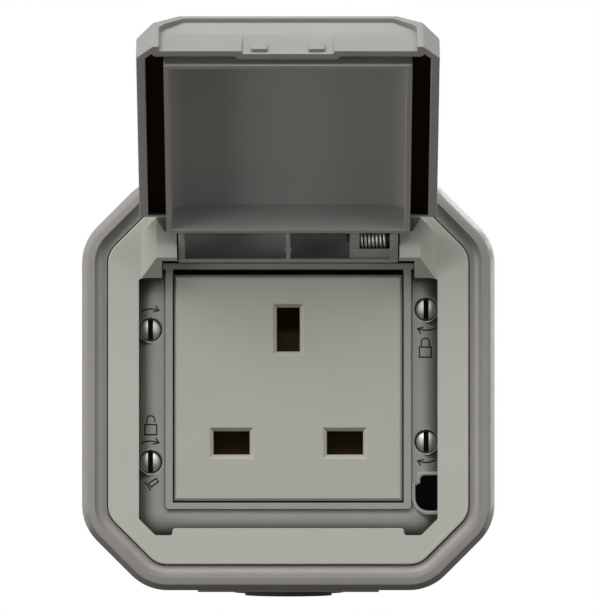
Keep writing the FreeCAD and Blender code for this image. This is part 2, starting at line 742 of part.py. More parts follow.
def socket_body():
    """Body of the mechanism: chambers for the contacts, ears behind the carrier's sides."""
    base = FLANGE_DEPTH
    outline = rectangle(
        PLATE_HALF - BODY_INSET, PLATE_BOTTOM + BODY_INSET, PLATE_TOP - BODY_INSET, BODY_CORNER
    )
    body = slab(outline, BODY_BACK, base)
    seat = slab(rectangle(PLATE_HALF, PLATE_BOTTOM, PLATE_TOP, 0), base - EAR_THICKNESS, base)
    body = body.fuse(seat)
    ear_end = LIP_INNER_HALF + EAR_REACH
    body = body.fuse(block(-ear_end, ear_end, base - EAR_THICKNESS, base, -EAR_HALF, EAR_HALF))
    for opening in pin_openings():
        body = body.cut(opening_slab(opening, CHAMBER_CLEARANCE, CHAMBER_FLOOR, base + 1))
        body = body.cut(terminal_block(opening, CONTACT_SEAT_GAP, BODY_BACK - 1))
    return body.cut(shutter_pocket()).removeSplitter()


def terminal_block(opening, grow, back):
    x, z = terminal_place(opening)
    half = TERMINAL_WIDTH / 2 + grow
    tall = TERMINAL_HEIGHT / 2 + grow
    front = CHAMBER_FLOOR + STRIP
    return block(x - half, x + half, back, front, z - tall, z + tall)


def contact(opening):
    """Spring contact: two leaves on a foot that runs into the terminal."""
    x, z, width, height = opening
    grip_half = min(width, height) / 2 * CONTACT_GAP_SHARE
    reach = CHAMBER_CLEARANCE - CONTACT_SEAT_GAP
    floor = CHAMBER_FLOOR + CONTACT_SEAT_GAP
    foot_half_width = width / 2 + reach
    foot_half_height = height / 2 + reach
    foot = block(
        x - foot_half_width,
        x + foot_half_width,
        floor,
        floor + STRIP,
        z - foot_half_height,
        z + foot_half_height,
    )
    tall = height > width
    outer = foot_half_width if tall else foot_half_height
    section = [
        (floor, outer - STRIP),
        (CONTACT_FRONT - CONTACT_THROAT, grip_half),
        (CONTACT_FRONT - CONTACT_LEAD, grip_half),
        (CONTACT_FRONT, outer - STRIP),
        (CONTACT_FRONT, outer),
        (CONTACT_FRONT - CONTACT_LEAD, grip_half + STRIP),
        (CONTACT_FRONT - CONTACT_THROAT, grip_half + STRIP),
        (floor, outer),
    ]
    result = foot
    for side in (-1, 1):
        if tall:
            corners = [(point(x + side * off, depth, z - height / 2), 0) for depth, off in section]
            leaf = solid_from(corners, FreeCAD.Vector(0, 0, height))
        else:
            corners = [(point(x - width / 2, depth, z + side * off), 0) for depth, off in section]
            leaf = solid_from(corners, FreeCAD.Vector(width, 0, 0))
        result = result.fuse(leaf)
    result = result.fuse(terminal_block(opening, 0, CHAMBER_FLOOR - TERMINAL_DEPTH))
    terminal_x, terminal_z = terminal_place(opening)
    bore_depth = CHAMBER_FLOOR - TERMINAL_DEPTH / 2
    bore = Part.makeCylinder(
        TERMINAL_BORE, BEYOND, point(terminal_x, bore_depth, terminal_z - BEYOND / 2), FreeCAD.Vector(0, 0, 1)
    )
    result = result.cut(bore)
    result = result.cut(rod(terminal_x, terminal_z, TERMINAL_SCREW_RADIUS, 0, bore_depth))
    return result.removeSplitter()


def terminal_screw(opening):
    x, z = terminal_place(opening)
    back = CHAMBER_FLOOR - TERMINAL_DEPTH
    head = rod(x, z, TERMINAL_HEAD_RADIUS, back - TERMINAL_HEAD_HEIGHT, back)
    slot = block(
        x - TERMINAL_HEAD_RADIUS,
        x + TERMINAL_HEAD_RADIUS,
        back - TERMINAL_HEAD_HEIGHT,
        back - TERMINAL_HEAD_HEIGHT / 2,
        z - TERMINAL_SLOT / 2,
        z + TERMINAL_SLOT / 2,
    )
    shank_radius = TERMINAL_SCREW_RADIUS - PIN_PRESS_GAP
    shank = rod(x, z, shank_radius, back, CHAMBER_FLOOR - TERMINAL_DEPTH / 2)
    return head.cut(slot).fuse(shank)


def shutter():
    """Sliding shutter: a cross bar over the pole openings, and a ramp for the longest pin."""
    low = SHUTTER_LOW
    high = SHUTTER_HIGH
    pole_z = EARTH_Z - PIN_SPACING
    half = PIN_SPACING / 2 + POLE_WIDTH / 2 + SHUTTER_LAP
    bottom = pole_z - POLE_HEIGHT / 2 - SHUTTER_LAP
    top = pole_z + POLE_HEIGHT / 2 + SHUTTER_LAP
    bar = block(-half, half, low, high, bottom, top)
    ramp_top = EARTH_Z - EARTH_HEIGHT / 2 + SHUTTER_TRAVEL - SHUTTER_LAP
    stem = across(
        [(low, top), (high, top), (high, ramp_top - SHUTTER_THICKNESS), (low, ramp_top)],
        -SHUTTER_BAR / 2,
        SHUTTER_BAR / 2,
    )
    tab_half = SHUTTER_SPRING_RADIUS
    tab_bottom = shutter_tab_bottom()
    tab = block(
        -tab_half, tab_half, low - SHUTTER_TAB_DEPTH, low, tab_bottom, tab_bottom + SHUTTER_TAB_HEIGHT
    )
    return bar.fuse([stem, tab]).removeSplitter()


def coil(radius, wire, length, turns):
    """Compression spring that stands on the origin along +Z."""
    helix = Part.makeHelix(length / turns, length, radius)
    start = helix.Edges[0].Vertexes[0].Point
    circle = Part.Circle(start, FreeCAD.Vector(0, 1, 0), wire / 2)
    profile = Part.Wire(circle.toShape())
    return Part.Wire(helix.Edges).makePipeShell([profile], True, True)


def shutter_spring():
    length = SHUTTER_SPRING_LENGTH - SHUTTER_SPRING_WIRE - 2 * SPRING_END_GAP
    radius = SHUTTER_SPRING_RADIUS - SHUTTER_SPRING_WIRE / 2
    spring = coil(radius, SHUTTER_SPRING_WIRE, length, SHUTTER_SPRING_TURNS)
    depth = FLANGE_DEPTH - SHUTTER_TAB_DEPTH / 2
    foot = shutter_tab_bottom() - SHUTTER_SPRING_LENGTH + SHUTTER_SPRING_WIRE / 2 + SPRING_END_GAP
    spring.translate(point(0, depth, foot))
    return spring


def lock_screw(x, z):
    """Quarter-turn screw: domed slotted head, shank, and a cross foot under the post's cap."""
    head_seat = PILLOW_DEPTH - SCREW_HEAD_HEIGHT + SCREW_SEAT_GAP
    dome = Part.makeSphere(SCREW_DOME_RADIUS, point(x, PILLOW_DEPTH - SCREW_DOME_RADIUS, z))
    head = rod(x, z, SCREW_HEAD_RADIUS, head_seat, PILLOW_DEPTH).common(dome)
    half_slot = SCREW_SLOT / 2
    slot = block(
        x - half_slot,
        x + half_slot,
        PILLOW_DEPTH - SCREW_SLOT_DEPTH,
        PILLOW_DEPTH + 1,
        z - SCREW_HEAD_RADIUS - 1,
        z + SCREW_HEAD_RADIUS + 1,
    )
    foot_top = POST_TOP - POST_CAP - KEY_SLOT_GAP
    foot_bottom = foot_top - SCREW_FOOT_HEIGHT
    shank = rod(x, z, SCREW_SHANK_RADIUS, foot_bottom, head_seat)
    half_length = SCREW_FOOT_LENGTH / 2
    half_width = SCREW_FOOT_WIDTH / 2
    foot = block(x - half_length, x + half_length, foot_bottom, foot_top, z - half_width, z + half_width)
    return head.cut(slot).fuse([shank, foot]).removeSplitter()


def bezel_opening():
    half_width = OPENING_HALF
    chamfer_x = half_width - OPENING_CHAMFER
    right = [
        (OPENING_NOTCH_X, OPENING_BOTTOM, OPENING_CORNER),
        (OPENING_NOTCH_X, OPENING_NOTCH_BOTTOM, OPENING_CORNER),
        (chamfer_x, OPENING_NOTCH_BOTTOM, OPENING_CORNER),
        (half_width, OPENING_NOTCH_BOTTOM + OPENING_CHAMFER, OPENING_CORNER),
        (half_width, OPENING_SIDE_TOP, OPENING_SIDE_CORNER),
        (OPENING_INNER_X, OPENING_INNER_TOP, 0),
        (OPENING_INNER_X, OPENING_LUG_Z, 0),
        (LUG_INNER, OPENING_LUG_Z, 0),
        (LUG_INNER, OPENING_TOP, 0),
    ]
    left = [(-x, z, radius) for x, z, radius in reversed(right)]
    return right + left


def hinge_lug():
    """Right-hand hinge lug: it slopes away on three sides, and its outer ridge rises to a peak."""
    wires = []
    for depth, share in ((BEZEL_DEPTH, 1), (LUG_FRONT, 0)):
        outer = LUG_RIDGE + (LUG_OUTER - LUG_RIDGE) * share
        bottom = LUG_FRONT_BOTTOM + (LUG_BASE_BOTTOM - LUG_FRONT_BOTTOM) * share
        top = LUG_FRONT_TOP + (LUG_BASE_TOP - LUG_FRONT_TOP) * share
        peak = LUG_FRONT_PEAK + (LUG_BASE_TOP - LUG_FRONT_PEAK) * share
        corners = [
            point(LUG_INNER, depth, bottom),
            point(outer, depth, bottom),
            point(outer, depth, peak),
            point(LUG_INNER + LUG_SHOULDER, depth, top),
            point(LUG_INNER, depth, top),
        ]
        wires.append(Part.makePolygon(corners + corners[:1]))
    lug = Part.makeLoft(wires, True, True)
    cut_z = HINGE_Z + LUG_CORNER_RISE
    corner = slab(
        [
            (LUG_OUTER + BEYOND, cut_z - BEYOND, 0),
            (LUG_OUTER + BEYOND, cut_z + BEYOND, 0),
            (LUG_OUTER - BEYOND, cut_z + BEYOND, 0),
        ],
        0,
        BEYOND * 3,
    )
    return lug.cut(corner)


def bezel():
    """Front cover: plate with a skirt, hinge lugs, and the trough the lid's barrel turns in."""
    inset = RECESS_INSET + BEZEL_GAP
    low = BEZEL_DEPTH - BEZEL_THICKNESS
    seat = FLANGE_DEPTH + FLANGE_THICKNESS
    plate = slab(octagon(inset), low, BEZEL_DEPTH)
    plate = plate.makeFillet(BEZEL_EDGE, front_edges(plate, BEZEL_DEPTH))
    plate = plate.fuse(octagon_ring(inset, inset + BEZEL_SKIRT, seat, low))
    trough = hinge_rod(TROUGH_RADIUS + TROUGH_WALL, -LUG_INNER - TROUGH_WALL, LUG_INNER + TROUGH_WALL)
    below_front = block(-BEYOND * 3, BEYOND * 3, 0, BEZEL_DEPTH, 0, BEYOND * 3)
    plate = plate.fuse(trough.common(below_front))
    lug = hinge_lug()
    plate = plate.fuse([lug, mirrored(lug)])
    plate = plate.cut(slab(bezel_opening(), 0, BEZEL_DEPTH + 0.001))
    lug_notch = block(
        -OPENING_INNER_X,
        OPENING_INNER_X,
        BEZEL_DEPTH - 1,
        BEYOND * 3,
        OPENING_INNER_TOP - BEYOND,
        OPENING_LUG_Z,
    )
    plate = plate.cut(lug_notch)
    plate = plate.cut(hinge_rod(TROUGH_RADIUS, -LUG_INNER, LUG_INNER))
    plate = plate.cut(stop_cutter())
    pin_hole = hinge_rod(HINGE_PIN_RADIUS + PIN_PRESS_GAP, -LUG_INNER - PIN_IN_LUG, -LUG_INNER)
    plunger_hole = hinge_rod(
        HINGE_PIN_RADIUS + HINGE_RUNNING, LUG_INNER, LUG_INNER + PLUNGER_IN_LUG + STOP_GAP
    )
    return plate.cut(pin_hole.fuse(plunger_hole)).removeSplitter()


def stop_cutter():
    """Space of the open lid's front, so that the trough's upper edge becomes its stop."""
    lid_space = lid_block(
        -LUG_INNER, LUG_INNER, 0, BEYOND, -BEYOND / 2, LID_FRONT + STOP_GAP
    )
    return opened(lid_space)


def opened(shape):
    """Moves a piece from the closed lid's own frame to the lid standing open."""
    placed = shape.copy()
    placed.rotate(FreeCAD.Vector(0, 0, 0), FreeCAD.Vector(1, 0, 0), -OPEN_ANGLE)
    placed.translate(point(0, HINGE_DEPTH, HINGE_Z))
    return placed


def lid_block(left, right, top, bottom, low, high):
    """Box of the closed lid: from top down to bottom, and from low out to high."""
    return Part.makeBox(right - left, high - low, bottom - top, lid_point(left, bottom, high))


def lid_slab(corners, low, high):
    placed = [(lid_point(x, down, low), radius) for x, down, radius in corners]
    return solid_from(placed, FreeCAD.Vector(0, low - high, 0))


def lid_section(corners, left, right):
    """Bar along X of the closed lid. Corners are (down, out)."""
    placed = [(lid_point(left, down, out), 0) for down, out in corners]
    return solid_from(placed, FreeCAD.Vector(right - left, 0, 0))


def lid_channel_section(corners, top, bottom):
    """Bar running down the closed lid. Corners are (x, out)."""
    placed = [(lid_point(x, top, out), 0) for x, out in corners]
    return solid_from(placed, FreeCAD.Vector(0, 0, top - bottom))


def lid_rod(radius, left, right):
    return Part.makeCylinder(radius, right - left, FreeCAD.Vector(left, 0, 0), FreeCAD.Vector(1, 0, 0))


def both_ways(corners):
    """Adds the mirrored left half to a right half of an outline."""
    return corners + [(-corner[0],) + tuple(corner[1:]) for corner in reversed(corners)]


def lid_outline(inset, top, bottom):
    half = LID_HALF - inset
    chamfer = LID_CHAMFER - inset * (2 - math.sqrt(2))
    radius = LID_CORNER_RADIUS
    return both_ways([(half, top, 0), (half, bottom - chamfer, radius), (half - chamfer, bottom, radius)])


def wing_end(out):
    """How far down the wing beside a lug begins, at a distance out."""
    slope = (LUG_FRONT_BOTTOM - LUG_BASE_BOTTOM) / (LUG_FRONT - BEZEL_DEPTH)
    depth = HINGE_DEPTH + out
    lug_z = LUG_BASE_BOTTOM + (depth - BEZEL_DEPTH) * slope
    return HINGE_Z - lug_z + WING_GAP * math.sqrt(1 + slope * slope)


def wing_cutter(inner_x, extra, low, high):
    """Space beside and above the wings, where the lugs stand."""
    corners = [(-BEYOND, low), (-BEYOND, high), (wing_end(high) + extra, high), (wing_end(low) + extra, low)]
    right = lid_section(corners, inner_x, LID_HALF + 1)
    return right.fuse(mirrored(right))


def front_bevels():
    slope = LID_BEVEL_DROP / LID_BEVEL_WIDTH
    edge = LID_HALF + 1
    corners = [
        (LID_FLAT_HALF, LID_FRONT),
        (edge, LID_FRONT - (edge - LID_FLAT_HALF) * slope),
        (edge, LID_FRONT + 1),
        (LID_FLAT_HALF, LID_FRONT + 1),
    ]
    right = lid_channel_section(corners, -BEYOND, LID_LIP_DOWN + 1)
    return right.fuse(mirrored(right))


def grip_recess():
    """Finger grip along the free edge, under a thin front lip."""
    across_x = both_ways(
        [
            (GRIP_HALF, LID_RIM - 1),
            (GRIP_HALF, GRIP_OUT - GRIP_SHOULDER_DROP - GRIP_SHOULDER_END),
            (GRIP_HALF - GRIP_SHOULDER_END, GRIP_OUT - GRIP_SHOULDER_DROP),
            (GRIP_HALF - GRIP_SHOULDER, GRIP_OUT),
        ]
    )
    window = lid_channel_section(across_x, LID_CREASE_DOWN - 2, LID_LIP_DOWN + 2)
    floor = lid_section(
        [
            (GRIP_DOWN, GRIP_OUT),
            (LID_CREASE_DOWN, LID_CREASE_OUT),
            (LID_FREE_DOWN, LID_RIM),
            (LID_FREE_DOWN, LID_RIM - 2),
            (LID_LIP_DOWN + 2, LID_RIM - 2),
            (LID_LIP_DOWN + 2, GRIP_OUT),
        ],
        -LID_HALF,
        LID_HALF,
    )
    wedge = lid_section(
        [
            (LID_CREASE_DOWN, LID_CREASE_OUT),
            (LID_FREE_DOWN - NOTCH_DEEP, LID_RIM),
            (LID_FREE_DOWN - NOTCH_DEEP, LID_RIM - 1),
            (LID_LIP_DOWN, LID_RIM - 1),
        ],
        -LID_HALF,
        LID_HALF,
    )
    notch = lid_slab(
        both_ways([(NOTCH_HALF, LID_FREE_DOWN + 1, 0), (NOTCH_FLOOR_HALF, LID_FREE_DOWN - NOTCH_DEEP, 0)]),
        LID_RIM - 1,
        LID_CREASE_OUT,
    )
    return window.common(floor).fuse(notch.common(wedge))


def catches():
    root = LID_FREE_DOWN - CATCH_ROOT
    right = lid_block(CATCH_INNER_X, CATCH_OUTER_X, root, CATCH_DOWN, CATCH_LOW, CATCH_HIGH)
    return right.fuse(mirrored(right))


def collar_outline(inset, radius):
    half = COLLAR_HALF - inset
    return both_ways([(half, COLLAR_TOP + inset, radius), (half, COLLAR_BOTTOM - inset, radius)])


def cavity_cutter():
    """Inside of the collar, with a floor that follows the bevelled front."""
    half = COLLAR_HALF - COLLAR_WALL
    slope = LID_BEVEL_DROP / LID_BEVEL_WIDTH
    floor_half = LID_FLAT_HALF - (LID_FRONT - LID_FLOOR) / 2
    corners = both_ways(
        [(half, COLLAR_RIM - 1), (half, LID_FLOOR - (half - floor_half) * slope), (floor_half, LID_FLOOR)]
    )
    return lid_channel_section(corners, COLLAR_TOP + COLLAR_WALL, COLLAR_BOTTOM - COLLAR_WALL)


def channel_outline(inset):
    """Inner face of the lid's walls, with a relieved corner and a pad behind the notch."""
    side = LID_HALF - LID_WALL - inset
    bottom = LID_FREE_DOWN - LID_WALL - inset
    return both_ways(
        [
            (side, 0, 0),
            (side, bottom - CHANNEL_RELIEF, 0),
            (side - 2 * CHANNEL_RELIEF, bottom + CHANNEL_RELIEF, 0),
            (side - 3 * CHANNEL_RELIEF, bottom, 0),
            (NOTCH_HALF + NOTCH_DEEP, bottom, 0),
            (NOTCH_FLOOR_HALF + NOTCH_DEEP, bottom - NOTCH_DEEP, 0),
        ]
    )


def channel_space(inset, low, high):
    """Channel between the shell and the collar, open towards the hinge side's end walls."""
    outer = lid_slab(channel_outline(inset), low, high)
    outer = outer.cut(lid_slab(collar_outline(-inset, 0), low - 1, high + 1))
    outer = outer.cut(lid_block(-LID_HALF, LID_HALF, -1, COLLAR_TOP + 1, low - 1, high + 1))
    end_wall = CHANNEL_END - wing_end(LID_RIM) + inset
    return outer.cut(wing_cutter(COLLAR_HALF - 1, end_wall, LID_RIM - 3, LID_FRONT))


def barrel_outside():
    return lid_rod(BARREL_RADIUS, -BARREL_HALF, BARREL_HALF)


def barrel_inside():
    left = -BARREL_HALF + LEFT_RIB
    right = BARREL_HALF - RIGHT_RIB
    hollow = lid_rod(BARREL_RADIUS - BARREL_WALL, left, right)
    hollow = hollow.fuse(lid_block(left, right, 0, COLLAR_TOP, -BEYOND, LID_FLOOR))
    return hollow.cut(lid_block(left - 1, right + 1, -BEYOND, BEYOND, -BEYOND * 2, BARREL_RIM - 2))


def barrel_ribs():
    """Middle rib with its nub, and the spring's seat and cradle."""
    inside = barrel_inside()
    middle = lid_block(-MIDDLE_RIB / 2, MIDDLE_RIB / 2, -BARREL_RADIUS, COLLAR_TOP, BARREL_RIM, LID_FRONT)
    nub_foot = lid_point(0, MIDDLE_NUB_PLACE, BARREL_RIM + MIDDLE_NUB_HEIGHT)
    nub = Part.makeCylinder(MIDDLE_NUB, MIDDLE_NUB_HEIGHT, nub_foot, FreeCAD.Vector(0, 1, 0))
    seat = lid_block(SEAT_X, SEAT_X + SEAT_WIDTH, -BARREL_RADIUS, COLLAR_TOP, CRADLE_OUT, LID_FRONT)
    cradle = lid_block(
        SEAT_X, BARREL_HALF, -BARREL_RADIUS, CRADLE_TOP, CRADLE_OUT - CRADLE_THICKNESS, CRADLE_OUT
    )
    return [middle.common(inside), nub, seat.common(inside), cradle.common(inside)]


def lid():
    """Lid as one moulding: shell with a grip, sealing collar, and the hinge barrel."""
    shell = lid_slab(lid_outline(0, 0, LID_LIP_DOWN), LID_RIM, LID_FRONT)
    shell = shell.cut(wing_cutter(BARREL_HALF, 0, LID_RIM - 1, LID_FRONT + 1))
    lip_edge = lid_block(-GRIP_HALF, GRIP_HALF, LID_LIP_DOWN, LID_LIP_DOWN + 1, -BEYOND, BEYOND)
    shell = shell.cut(lip_edge)
    collar = lid_slab(collar_outline(0, COLLAR_CORNER), COLLAR_RIM, LID_FLOOR)
    shell = shell.fuse([collar, barrel_outside()])
    shell = shell.cut(front_bevels())
    shell = shell.cut(grip_recess())
    shell = shell.fuse(catches())
    shell = shell.cut(cavity_cutter())
    shell = shell.cut(channel_space(0, LID_RIM - 1, CHANNEL_FLOOR))
    shell = shell.cut(barrel_inside())
    shell = shell.fuse(barrel_ribs())
    below = lid_block(-BARREL_HALF, BARREL_HALF, -BEYOND, COLLAR_TOP, -BEYOND, BARREL_RIM)
    beside = lid_block(-BARREL_HALF, BARREL_HALF, -BEYOND, COLLAR_TOP - BARREL_SHOULDER, -BEYOND, 0)
    shell = shell.cut(below.fuse(beside.cut(barrel_outside())))
    pin_bore = lid_rod(HINGE_PIN_RADIUS + HINGE_RUNNING, -BARREL_HALF - 1, -BARREL_HALF + LEFT_RIB + 1)
    plunger_bore = lid_rod(HINGE_PIN_RADIUS + HINGE_RUNNING, BARREL_HALF - RIGHT_RIB - 1, BARREL_HALF + 1)
    tail_bore = lid_rod(PLUNGER_TAIL_RADIUS + HINGE_RUNNING, SEAT_X - 1, SEAT_X + SEAT_WIDTH + 1)
    shell = shell.cut(pin_bore.fuse([plunger_bore, tail_bore]))
    return opened(shell.removeSplitter())


def lid_seal():
    """Soft seal lying in the lid's channel."""
    return opened(channel_space(LID_SEAL_GAP, LID_SEAL_TOP, CHANNEL_FLOOR - LID_SEAL_GAP))


def hinge_pin():
    """Fixed pin, pressed into the left lug."""
    return hinge_rod(HINGE_PIN_RADIUS, -LUG_INNER - PIN_IN_LUG, -BARREL_HALF + LEFT_RIB)


def hinge_plunger():
    """Sprung pin in the lid: pushed in, it lets the lid off its lugs."""
    face = BARREL_HALF - RIGHT_RIB - SPRING_END_GAP
    pin = lid_rod(HINGE_PIN_RADIUS, face, LUG_INNER + PLUNGER_IN_LUG)
    flange = lid_rod(PLUNGER_FLANGE_RADIUS, face - PLUNGER_FLANGE, face)
    tail = lid_rod(PLUNGER_TAIL_RADIUS, SEAT_X - PLUNGER_TAIL_REACH, face - PLUNGER_FLANGE)
    return opened(pin.fuse([flange, tail]).removeSplitter())


def hinge_spring():
    start = SEAT_X + SEAT_WIDTH + SPRING_END_GAP + HINGE_SPRING_WIRE / 2
    end = BARREL_HALF - RIGHT_RIB - 2 * SPRING_END_GAP - PLUNGER_FLANGE - HINGE_SPRING_WIRE / 2
    spring = coil(HINGE_SPRING_RADIUS, HINGE_SPRING_WIRE, end - start, HINGE_SPRING_TURNS)
    spring.rotate(FreeCAD.Vector(0, 0, 0), FreeCAD.Vector(0, 1, 0), 90)
    spring.translate(FreeCAD.Vector(start, 0, 0))
    return opened(spring)


def sub_parts():
    earth, left_pole, right_pole = pin_openings()
    parts = {
        "back_box": back_box(),
        "entry_membrane": entry_membrane(),
        "frame_gasket": frame_gasket(),
        "inner_frame": inner_frame(),
        "plate_seal": plate_seal(),
        "socket_plate": socket_plate(),
        "socket_body": socket_body(),
        "earth_contact": contact(earth),
        "neutral_contact": contact(left_pole),
        "live_contact": contact(right_pole),
        "earth_terminal_screw": terminal_screw(earth),
        "neutral_terminal_screw": terminal_screw(left_pole),
        "live_terminal_screw": terminal_screw(right_pole),
        "shutter": shutter(),
        "shutter_spring": shutter_spring(),
        "bezel": bezel(),
        "lid": lid(),
        "lid_seal": lid_seal(),
        "hinge_pin": hinge_pin(),
        "hinge_plunger": hinge_plunger(),
        "hinge_spring": hinge_spring(),
    }
    names = ("upper_left", "lower_left", "upper_right", "lower_right")
    for name, place in zip(names, screw_places()):
        parts["lock_screw_" + name] = lock_screw(*place)
    return parts


def main():
    os.makedirs("parts", exist_ok=True)
    for name, shape in sub_parts().items():
        print(name, "valid" if shape.isValid() else "NOT VALID", len(shape.Solids), round(shape.Volume, 1))
        shape.exportStep("parts/" + name + ".step")


main()
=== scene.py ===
import json
import math

import bmesh
import bpy
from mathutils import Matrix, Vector
from mathutils.bvhtree import BVHTree
from mathutils.interpolate import poly_3d_calc

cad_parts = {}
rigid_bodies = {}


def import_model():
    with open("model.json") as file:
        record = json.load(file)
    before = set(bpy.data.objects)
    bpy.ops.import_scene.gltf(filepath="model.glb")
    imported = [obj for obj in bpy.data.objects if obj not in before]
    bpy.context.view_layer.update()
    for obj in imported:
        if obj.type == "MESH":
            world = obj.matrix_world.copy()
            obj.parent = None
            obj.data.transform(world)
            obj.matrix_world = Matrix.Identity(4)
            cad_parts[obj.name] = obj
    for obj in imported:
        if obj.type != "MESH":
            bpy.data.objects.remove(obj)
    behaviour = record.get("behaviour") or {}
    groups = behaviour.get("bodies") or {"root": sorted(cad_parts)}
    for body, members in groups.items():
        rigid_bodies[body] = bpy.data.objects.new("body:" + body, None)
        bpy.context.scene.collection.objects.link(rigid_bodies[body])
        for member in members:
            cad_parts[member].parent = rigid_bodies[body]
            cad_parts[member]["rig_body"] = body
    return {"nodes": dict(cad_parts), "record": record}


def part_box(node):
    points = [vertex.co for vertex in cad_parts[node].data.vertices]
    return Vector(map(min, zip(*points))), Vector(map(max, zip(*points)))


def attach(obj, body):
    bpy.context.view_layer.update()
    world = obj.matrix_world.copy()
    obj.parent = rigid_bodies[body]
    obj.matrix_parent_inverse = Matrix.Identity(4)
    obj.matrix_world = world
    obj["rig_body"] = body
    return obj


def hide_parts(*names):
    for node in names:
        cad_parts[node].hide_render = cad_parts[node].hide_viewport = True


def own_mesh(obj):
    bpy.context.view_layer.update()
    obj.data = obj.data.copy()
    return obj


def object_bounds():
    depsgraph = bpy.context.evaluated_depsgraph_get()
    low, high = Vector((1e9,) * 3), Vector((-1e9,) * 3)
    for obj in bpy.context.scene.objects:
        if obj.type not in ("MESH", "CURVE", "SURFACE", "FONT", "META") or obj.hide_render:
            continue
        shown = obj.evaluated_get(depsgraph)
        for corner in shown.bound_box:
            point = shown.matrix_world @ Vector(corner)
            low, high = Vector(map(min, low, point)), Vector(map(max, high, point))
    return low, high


mm = 0.001

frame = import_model()
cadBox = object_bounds()
nodes = frame["nodes"]
print("packed model loaded:", len(nodes), "nodes")


# Helpers for the node trees

def toLinear(code):
    channels = [int(code[at:at + 2], 16) / 255 for at in (1, 3, 5)]
    return (*[c / 12.92 if c <= 0.04045 else ((c + 0.055) / 1.055) ** 2.4 for c in channels], 1)


def addNode(tree, kind, settings, links=()):
    node = tree.nodes.new(kind)
    for key, value in settings.items():
        if isinstance(key, str) and key in node.bl_rna.properties:
            setattr(node, key, value)
        else:
            node.inputs[key].default_value = value
    for key, output in dict(links).items():
        tree.links.new(output, node.inputs[key])
    return node


def emptyMaterial(name):
    material = bpy.data.materials.new(name)
    material.use_nodes = True
    material.node_tree.nodes.clear()
    return material, material.node_tree


def finishMaterial(tree, shader):
    addNode(tree, "ShaderNodeOutputMaterial", {}, {"Surface": shader.outputs[0]})


# Moulded polycarbonate: a spark-eroded tool leaves a fine, even grain that breaks up the gloss,
# and the melt's flow leaves very faint pale and dark drifts. The real grain is about 0.1 mm, too
# fine to show, so it is drawn at 0.4 mm. Gloss is how much of the plastic's own mirror gloss the
# grain leaves.
mouldedPlastics = {
    "back_box": {"colour": "#8E8B87", "drift": "#86837E",
                 "roughness": 0.42, "gloss": 0.4, "edge": 0.2},
    "bezel": {"colour": "#B2B2A9", "drift": "#ACACA3",
              "roughness": 0.42, "gloss": 0.4, "edge": 0.1},
    "lid": {"colour": "#9F9D9A", "drift": "#999794",
            "roughness": 0.45, "gloss": 0.35, "edge": 0.12},
    # Painted shade: the socket plate is the bezel's plastic coloured darker, as the shade in its
    # recess.
    "socket_plate": {"colour": "#A8A89D", "drift": "#A2A297",
                     "roughness": 0.42, "gloss": 0.4, "edge": 0.1},
    "inner_frame": {"colour": "#92918C", "drift": "#8B8A85",
                    "roughness": 0.4, "gloss": 0.45, "edge": 0.12},
    "plate_seal": {"colour": "#92918B", "drift": "#8B8A84",
                   "roughness": 0.42, "gloss": 0.4, "edge": 0.1},
    "socket_body": {"colour": "#2C2519", "drift": "#251E13",
                    "roughness": 0.6, "gloss": 0.05, "edge": 0.15},
    "shutter": {"colour": "#33281A", "drift": "#2C2214",
                "roughness": 0.6, "gloss": 0.05, "edge": 0.1},
}
mouldGrain = {"size": 0.4, "height": 0.006, "driftSize": 9.0, "glossSpread": 0.06, "ior": 1.58}
bevelSamples = 4


def mouldedPlastic(name, look):
    material, tree = emptyMaterial(name + "_moulded_polycarbonate")
    place = addNode(tree, "ShaderNodeTexCoord", {}).outputs["Object"]
    drift = addNode(tree, "ShaderNodeTexNoise",
                    {"Scale": 1 / (mouldGrain["driftSize"] * mm), "Detail": 3}, {"Vector": place})
    colour = addNode(tree, "ShaderNodeMix",
                     {"data_type": "RGBA", 6: toLinear(look["colour"]), 7: toLinear(look["drift"])},
                     {0: drift.outputs["Fac"]})
    grain = addNode(tree, "ShaderNodeTexNoise",
                    {"Scale": 1 / (mouldGrain["size"] * mm), "Detail": 2, "Roughness": 0.6},
                    {"Vector": place})
    dullness = addNode(tree, "ShaderNodeMapRange",
                       {"To Min": look["roughness"] - mouldGrain["glossSpread"],
                        "To Max": look["roughness"] + mouldGrain["glossSpread"]},
                       {"Value": grain.outputs["Fac"]})
    softEdge = addNode(tree, "ShaderNodeBevel",
                       {"samples": bevelSamples, "Radius": look["edge"] * mm})
    bump = addNode(tree, "ShaderNodeBump", {"Strength": 1, "Distance": mouldGrain["height"] * mm},
                   {"Height": grain.outputs["Fac"], "Normal": softEdge.outputs["Normal"]})
    shader = addNode(tree, "ShaderNodeBsdfPrincipled",
                     {"IOR": mouldGrain["ior"], "Specular IOR Level": look["gloss"]},
                     {"Base Color": colour.outputs[2], "Roughness": dullness.outputs["Result"],
                      "Normal": bump.outputs["Normal"]})
    finishMaterial(tree, shader)
    return material


# Moulded EPDM and foamed chloroprene: matt, with a dusty bloom in faint patches.
# The foam shows its closed cells as small pits.
elastomers = {
    "entry_membrane": {"colour": "#3E3B37", "bloom": "#494642",
                       "cell": 1.1, "pit": 0.01, "gloss": 0.3},
    "frame_gasket": {"colour": "#1A0F08", "bloom": "#211610",
                     "cell": 0.7, "pit": 0.04, "gloss": 0.1},
    "lid_seal": {"colour": "#1A0902", "bloom": "#200E05", "cell": 0.7, "pit": 0.04, "gloss": 0.1},
}
rubber = {"bloomSize": 5, "roughness": 0.75, "ior": 1.5}


